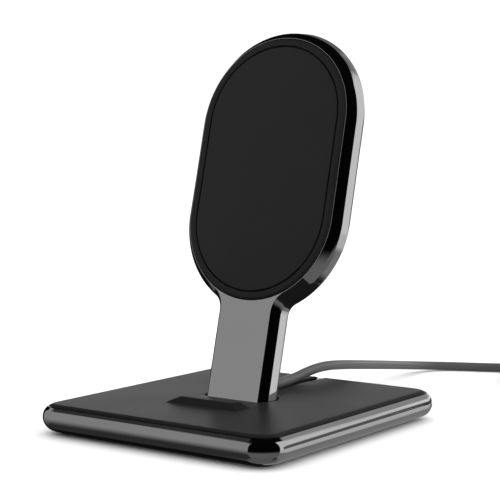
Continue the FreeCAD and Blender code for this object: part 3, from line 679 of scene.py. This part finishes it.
def add_ribs(context, material, start):
    """Ribs round the far plug's strain relief, made a plain mesh."""
    lead = context.scene.stand_lead
    holder = bpy.data.objects.new("rib_holder", bpy.data.meshes.new("rib_holder"))
    context.scene.collection.objects.link(holder)
    modifier = holder.modifiers.new("Ribs", "NODES")
    modifier.node_group = ribs_tree(material)
    values = {"Count": lead.ribs, "Length": lead.relief, "Near radius": lead.radius + 0.1 * MM,
              "Far radius": lead.relief_radius, "Rib radius": 0.45 * MM}
    for item in modifier.node_group.interface.items_tree:
        if item.in_out == "INPUT":
            modifier[item.identifier] = values[item.name]
    ready = holder.evaluated_get(context.evaluated_depsgraph_get())
    mesh = bpy.data.meshes.new_from_object(ready)
    bpy.data.objects.remove(holder)
    mesh.transform(Matrix.Translation(start))
    return add_piece("far_plug_relief_ribs", mesh, material, crease=60.0)


class STAND_OT_casting(bpy.types.Operator):
    """Sweep the casting's bullnose round the base"""
    bl_idname = "stand.casting"
    bl_label = "Base casting"

    def profile(self, base):
        """The casting's section from its deck round the outside to its well, as (inset, height)."""
        deck = base.seam - base.seat_depth
        above = base.height - base.equator
        below = base.equator - base.bottom
        at_shoulder = math.asin((base.shoulder - base.equator) / above)
        seam_inset = above - math.sqrt(above ** 2 - (base.seam - base.equator) ** 2)
        points = [(base.seat_inset, deck), (base.seat_inset, base.seam)]
        outer = [(seam_inset + 0.1 * MM, base.seam), (seam_inset, base.seam - 0.04 * MM)]
        upper = arc((0.0, 0.0), above, at_shoulder, 0.0, BULLNOSE_STEPS_ABOVE)
        lower = arc((0.0, 0.0), below, 0.0, -math.pi / 2, BULLNOSE_STEPS_BELOW)
        outer += [(above - x, base.equator + y) for x, y in upper]
        outer += [(below - x, base.equator + y) for x, y in lower[1:]]
        return points + outer + [(base.well_inset, base.bottom), (base.well_inset, base.bottom + MM)]

    def execute(self, context):
        base = context.scene.stand_base
        low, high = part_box("base_casting")
        half_x = (high[0] - low[0]) / 2
        half_y = (high[1] - low[1]) / 2
        bm = bmesh.new()
        rows = []
        for inset, height in self.profile(base):
            radius = max(base.corner - inset, 0.5 * MM)
            reach_x = half_x - inset - radius
            reach_y = half_y - inset - radius
            points = []
            for index, (side_x, side_y) in enumerate(((1, 1), (-1, 1), (-1, -1), (1, -1))):
                centre = (side_x * reach_x, side_y * reach_y)
                start = math.pi / 2 * index
                corner = arc(centre, radius, start, start + math.pi / 2, CORNER_STEPS)
                points += [(x, y, height) for x, y in corner]
            rows.append(vertices(bm, points))
        skin(bm, rows, closed=True)
        fill(bm, rows[0])
        fill(bm, rows[-1])
        gunmetal = polished_metal("polished_gunmetal", context.scene.stand_colours.gunmetal, 0.03)
        add_piece("bullnose_casting", mesh_from(bm, "bullnose_casting"), gunmetal,
                  ("base_casting",), crease=6.0)
        return {"FINISHED"}


class STAND_OT_pads(bpy.types.Operator):
    """Finish the soft-touch pad on the base and the foot under it"""
    bl_idname = "stand.pads"
    bl_label = "Top pad and foot"

    def execute(self, context):
        colours = context.scene.stand_colours
        pad = soft_touch("soft_touch_pad", colours.soft_touch, rough=0.36, grain=5200.0, depth=0.03 * MM,
                         gloss=0.11, sheen=0.016)
        smooth_copy("base_top_pad", "top_pad", pad, crease=70.0)
        rubber = moulded("foot_rubber", colours.rubber, 0.7, grain=1500.0)
        smooth_copy("foot_pad", "rubber_foot", rubber)
        return {"FINISHED"}


class STAND_OT_arm(bpy.types.Operator):
    """Build the arm: stem, necks and hoop with creased side walls and the lead's trough"""
    bl_idname = "stand.arm"
    bl_label = "Arm"

    def outline(self, arm, depth, spread):
        """The arm's outline at a depth, as (x, z) from the right foot over the hoop to the left foot."""
        half = arm.stem_width / 2 + spread * arm.stem_share
        radius = arm.hoop_radius + spread
        neck = arm.neck_round - spread
        low = arm.pill_height - arm.pill_straight / 2
        high = arm.pill_height + arm.pill_straight / 2
        root = (depth * math.sin(arm.lean) - arm.foot) / math.cos(arm.lean)
        neck_z = low - math.sqrt((radius + neck) ** 2 - (half + neck) ** 2)
        lift = math.atan2(low - neck_z, -(half + neck))
        right = []
        for step in range(STRAIGHT_STEPS):
            right.append((half, root + (neck_z - root) * step / STRAIGHT_STEPS))
        right += arc((half + neck, neck_z), neck, math.pi, lift, NECK_STEPS)
        right += arc((0.0, low), radius, lift - math.pi, 0.0, HOOP_STEPS)[1:]
        for step in range(1, STRAIGHT_STEPS):
            right.append((radius, low + (high - low) * step / STRAIGHT_STEPS))
        crown = arc((0.0, high), radius, 0.0, math.pi, CROWN_STEPS)
        left = [(-x, z) for x, z in reversed(right)]
        return right + crown + left

    def wall(self, arm):
        """Section of the side wall as (depth, spread), with its edges, crease and ridge eased."""
        corners = [(0.0, arm.front_spread - 0.05 * MM), (0.0, arm.front_spread),
                   (arm.crease_depth, arm.crease_spread), (arm.ridge_depth, arm.ridge_spread),
                   (arm.thickness, arm.rear_spread), (arm.thickness, arm.rear_spread - 0.5 * MM)]
        return eased(corners, [arm.front_ease, arm.crease_ease, arm.ridge_ease, arm.rear_ease], 6)

    def seat(self, arm):
        """Section of the puck's seat as (radius, depth) from the front lip to the rear opening."""
        lip = 0.04 * MM
        corners = [(arm.bore + 2 * lip, 0.0), (arm.bore, 0.0), (arm.bore, arm.ledge_depth),
                   (arm.ledge_bore, arm.ledge_depth), (arm.ledge_bore, arm.thickness),
                   (arm.ledge_bore + 2 * lip, arm.thickness)]
        return eased(corners, [lip, lip, lip, lip], 3)

    def trough(self, arm, base, trough):
        """The three parts of the open trough in the back of the stem, each as a closed cutter."""
        lap = 0.05 * MM
        behind = arm.thickness + 2 * MM
        below = -3 * MM
        parts = [(trough.lead_half, trough.lead_floor, below, trough.relief_bottom + lap),
                 (trough.relief_half, trough.relief_floor, trough.relief_bottom, trough.plug_bottom + lap),
                 (trough.plug_half, trough.plug_floor, trough.plug_bottom, trough.plug_top)]
        cutters = []
        for number, (half, floor, bottom, top) in enumerate(parts):
            bm = bmesh.new()
            rows = []
            for depth in (floor, behind):
                corners = ((-half, bottom), (half, bottom), (half, top), (-half, top))
                rows.append(vertices(bm, [arm_point(arm, base.height, x, depth, z) for x, z in corners]))
            skin(bm, rows, closed=True)
            bm.faces.new(rows[0])
            bm.faces.new(rows[1])
            name = f"trough_cutter_{number}"
            cutter = bpy.data.objects.new(name, mesh_from(bm, name))
            bpy.context.scene.collection.objects.link(cutter)
            cutters.append(cutter)
        return cutters

    def execute(self, context):
        scene = context.scene
        arm = scene.stand_arm
        base = scene.stand_base

        def stand_up(points):
            return [arm_point(arm, base.height, *point) for point in points]

        bm = bmesh.new()
        rows = []
        for depth, spread in self.wall(arm):
            points = [(x, depth, z) for x, z in self.outline(arm, depth, spread)]
            rows.append(vertices(bm, stand_up(points)))
        skin(bm, rows, closed=False)
        loops = []
        for radius, depth in self.seat(arm):
            loops.append(vertices(bm, stand_up(pill_loop(arm, radius, depth))))
        skin(bm, loops, closed=True)
        fill(bm, rows[0], loops[0])
        fill(bm, rows[-1], loops[-1])
        bm.faces.new([row[0] for row in rows] + [row[-1] for row in reversed(rows)])
        mesh = mesh_from(bm, "leaning_arm")
        solid = bpy.data.objects.new("arm_before_trough", mesh)
        scene.collection.objects.link(solid)
        cutters = self.trough(arm, base, scene.stand_trough)
        for cutter in cutters:
            cut = solid.modifiers.new(cutter.name, "BOOLEAN")
            cut.operation = "DIFFERENCE"
            cut.solver = "EXACT"
            cut.object = cutter
        ready = solid.evaluated_get(context.evaluated_depsgraph_get())
        finished = bpy.data.meshes.new_from_object(ready)
        for helper in cutters + [solid]:
            bpy.data.objects.remove(helper)
        polished = polished_metal("polished_arm", scene.stand_colours.arm, 0.03)
        add_piece("leaning_arm", finished, polished, ("arm",), crease=24.0)
        return {"FINISHED"}


class STAND_OT_puck(bpy.types.Operator):
    """Build the puck's bezel and soft face and finish its shell"""
    bl_idname = "stand.puck"
    bl_label = "Puck"

    def lathe(self, context, name, section):
        """A closed form whose section (radius, depth) runs round the pill outline."""
        arm = context.scene.stand_arm
        base = context.scene.stand_base
        bm = bmesh.new()
        loops = []
        for radius, depth in section:
            loop = pill_loop(arm, radius, depth)
            loops.append(vertices(bm, [arm_point(arm, base.height, *point) for point in loop]))
        skin(bm, loops, closed=True)
        fill(bm, loops[0])
        fill(bm, loops[-1])
        return mesh_from(bm, name)

    def execute(self, context):
        puck = context.scene.stand_puck
        colours = context.scene.stand_colours
        inside = 4 * MM
        ring = eased([(inside, puck.back), (puck.radius, puck.back), (puck.radius, -puck.proud),
                      (puck.recess, -puck.proud), (puck.recess, puck.recess_floor),
                      (inside, puck.recess_floor)],
                     [0.2 * MM, puck.edge_round, 0.18 * MM, 0.1 * MM], 6)
        bezel = soft_touch("puck_shell", colours.bezel, rough=0.42, grain=3600.0, depth=0.03 * MM,
                           gloss=0.22)
        add_piece("puck_ring", self.lathe(context, "puck_ring", ring), bezel, ("puck_bezel",))
        front = eased([(inside, puck.recess_floor), (puck.face, puck.recess_floor),
                       (puck.face, puck.face_front), (inside, puck.face_front)],
                      [0.1 * MM, puck.face_round], 5)
        face = soft_touch("puck_face", colours.face, rough=0.55, grain=4200.0, depth=0.05 * MM,
                          gloss=0.35)
        add_piece("puck_soft_face", self.lathe(context, "puck_soft_face", front), face,
                  ("puck_face_pad",))
        smooth_copy("puck_rear_shell", "puck_back", bezel)
        return {"FINISHED"}


class STAND_OT_inner_parts(bpy.types.Operator):
    """Give the parts inside the base and the puck their finishes"""
    bl_idname = "stand.inner_parts"
    bl_label = "Inner parts"

    def execute(self, context):
        colours = context.scene.stand_colours
        steel = brushed("steel", colours.steel, 0.34)
        dress(steel, "ballast_plate", "arm_screws", "cover_screws", "board_screws")
        dress(moulded("cover_plate", (0.02, 0.02, 0.021), 0.5), "bottom_cover")
        dress(brushed("copper_winding", colours.copper, 0.3), "charging_coil")
        dress(moulded("ferrite", (0.025, 0.024, 0.024), 0.6, grain=900.0), "ferrite_sheet")
        dress(moulded("carrier_plastic", (0.05, 0.05, 0.052), 0.5), "coil_carrier")
        dress(moulded("board", colours.board, 0.35, grain=700.0), "circuit_board")
        dress(moulded("chip_plastic", (0.012, 0.012, 0.013), 0.45), "control_chip", "inductor")
        dress(moulded("capacitor_ceramic", (0.32, 0.22, 0.13), 0.4), "capacitors")
        dress(moulded("heat_pad", (0.30, 0.34, 0.40), 0.8), "heat_pad")
        dress(brushed("socket_metal", colours.steel, 0.28), "puck_socket")
        return {"FINISHED"}


class STAND_OT_stage(bpy.types.Operator):
    """Lay the floor and light the studio"""
    bl_idname = "stand.stage"
    bl_label = "Studio"

    def floor(self, context):
        reach = 30.0
        mesh = bpy.data.meshes.new("studio_floor")
        corners = [(-reach, -reach, 0.0), (reach, -reach, 0.0), (reach, reach, 0.0), (-reach, reach, 0.0)]
        mesh.from_pydata(corners, [], [(0, 1, 2, 3)])
        material, nodes = new_finish("pale_floor")
        tone = context.scene.stand_colours.floor
        nodes.surface({
            "Base Color": nodes.blend(shade(tone, 0.99), tone, nodes.noise(6.0)),
            "Roughness": 0.9,
            "Specular IOR Level": 0.1,
        })
        mesh.materials.append(material)
        floor = bpy.data.objects.new("studio_floor", mesh)
        floor.visible_glossy = False
        context.scene.collection.objects.link(floor)

    def walls(self, context):
        """White walls with the studio's cards in front of them."""
        world = bpy.data.worlds.new("studio_walls")
        world.use_nodes = True
        context.scene.world = world
        nodes = Nodes(world.node_tree)
        way = nodes.add("ShaderNodeTexCoord", output="Generated")
        across = nodes.axis(way, "X")
        azimuth = across.math("ARCTAN2", across, nodes.axis(way, "Y") * -1)
        up = nodes.axis(way, "Z")
        elevation = up.math("ARCSINE", up)
        light = nodes.add("ShaderNodeValue")
        light.socket.default_value = context.scene.stand_stage.sky
        for card in STUDIO_CARDS:
            left, right, low, high, soft_across, soft_up = (math.radians(angle) for angle in card[:6])
            aside = azimuth - (left + right) / 2
            aside = aside.math("ABSOLUTE", aside.math("WRAP", aside, math.pi, -math.pi))
            reach = (right - left) / 2
            share = 1 - nodes.ease(aside, reach - soft_across, reach + soft_across)
            share = share * nodes.window(elevation, low, high, soft_up)
            light = light - share * (light - card[6])
        shader = nodes.add("ShaderNodeBackground", None, {"Color": (1.0, 1.0, 1.0), "Strength": light})
        nodes.add("ShaderNodeOutputWorld", None, {"Surface": shader})

    def lamp(self, context):
        stage = context.scene.stand_stage
        data = bpy.data.lights.new("soft_key", "SUN")
        data.energy = stage.key
        data.angle = stage.key_angle
        lamp = bpy.data.objects.new("soft_key", data)
        lamp.location = KEY_PLACE
        lamp.rotation_euler = Vector(KEY_PLACE).to_track_quat("Z", "Y").to_euler()
        lamp.visible_glossy = False
        context.scene.collection.objects.link(lamp)

    def execute(self, context):
        self.floor(context)
        self.walls(context)
        self.lamp(context)
        context.scene.view_settings.view_transform = "Standard"
        return {"FINISHED"}


GROUPS = {
    "stand_base": StandBaseSizes,
    "stand_arm": StandArmSizes,
    "stand_trough": StandTroughSizes,
    "stand_puck": StandPuckSizes,
    "stand_lead": StandLeadSizes,
    "stand_colours": StandColours,
    "stand_stage": StandStage,
}
STEPS = (STAND_OT_camera, STAND_OT_lead, STAND_OT_casting, STAND_OT_pads, STAND_OT_arm, STAND_OT_puck,
         STAND_OT_inner_parts, STAND_OT_stage)


class STAND_PT_panel(bpy.types.Panel):
    """The stand's sizes, colours and building steps"""
    bl_label = "Charging stand"
    bl_idname = "STAND_PT_panel"
    bl_space_type = "VIEW_3D"
    bl_region_type = "UI"
    bl_category = "Stand"

    def draw(self, context):
        for step in STEPS:
            self.layout.operator(step.bl_idname)
        for name in GROUPS:
            group = getattr(context.scene, name)
            for setting in group.bl_rna.properties.keys():
                if setting not in ("rna_type", "name"):
                    self.layout.prop(group, setting)


def register():
    for name, group in GROUPS.items():
        bpy.utils.register_class(group)
        setattr(bpy.types.Scene, name, PointerProperty(type=group))
    for cls in (*STEPS, STAND_PT_panel):
        bpy.utils.register_class(cls)


def unregister():
    for cls in (STAND_PT_panel, *reversed(STEPS)):
        bpy.utils.unregister_class(cls)
    for name, group in GROUPS.items():
        delattr(bpy.types.Scene, name)
        bpy.utils.unregister_class(group)


def main():
    register()
    bpy.ops.stand.camera()
    bpy.ops.stand.lead()
    bpy.ops.stand.casting()
    bpy.ops.stand.pads()
    bpy.ops.stand.arm()
    bpy.ops.stand.puck()
    bpy.ops.stand.inner_parts()
    bpy.ops.stand.stage()


if __name__ == "__main__":
    main()
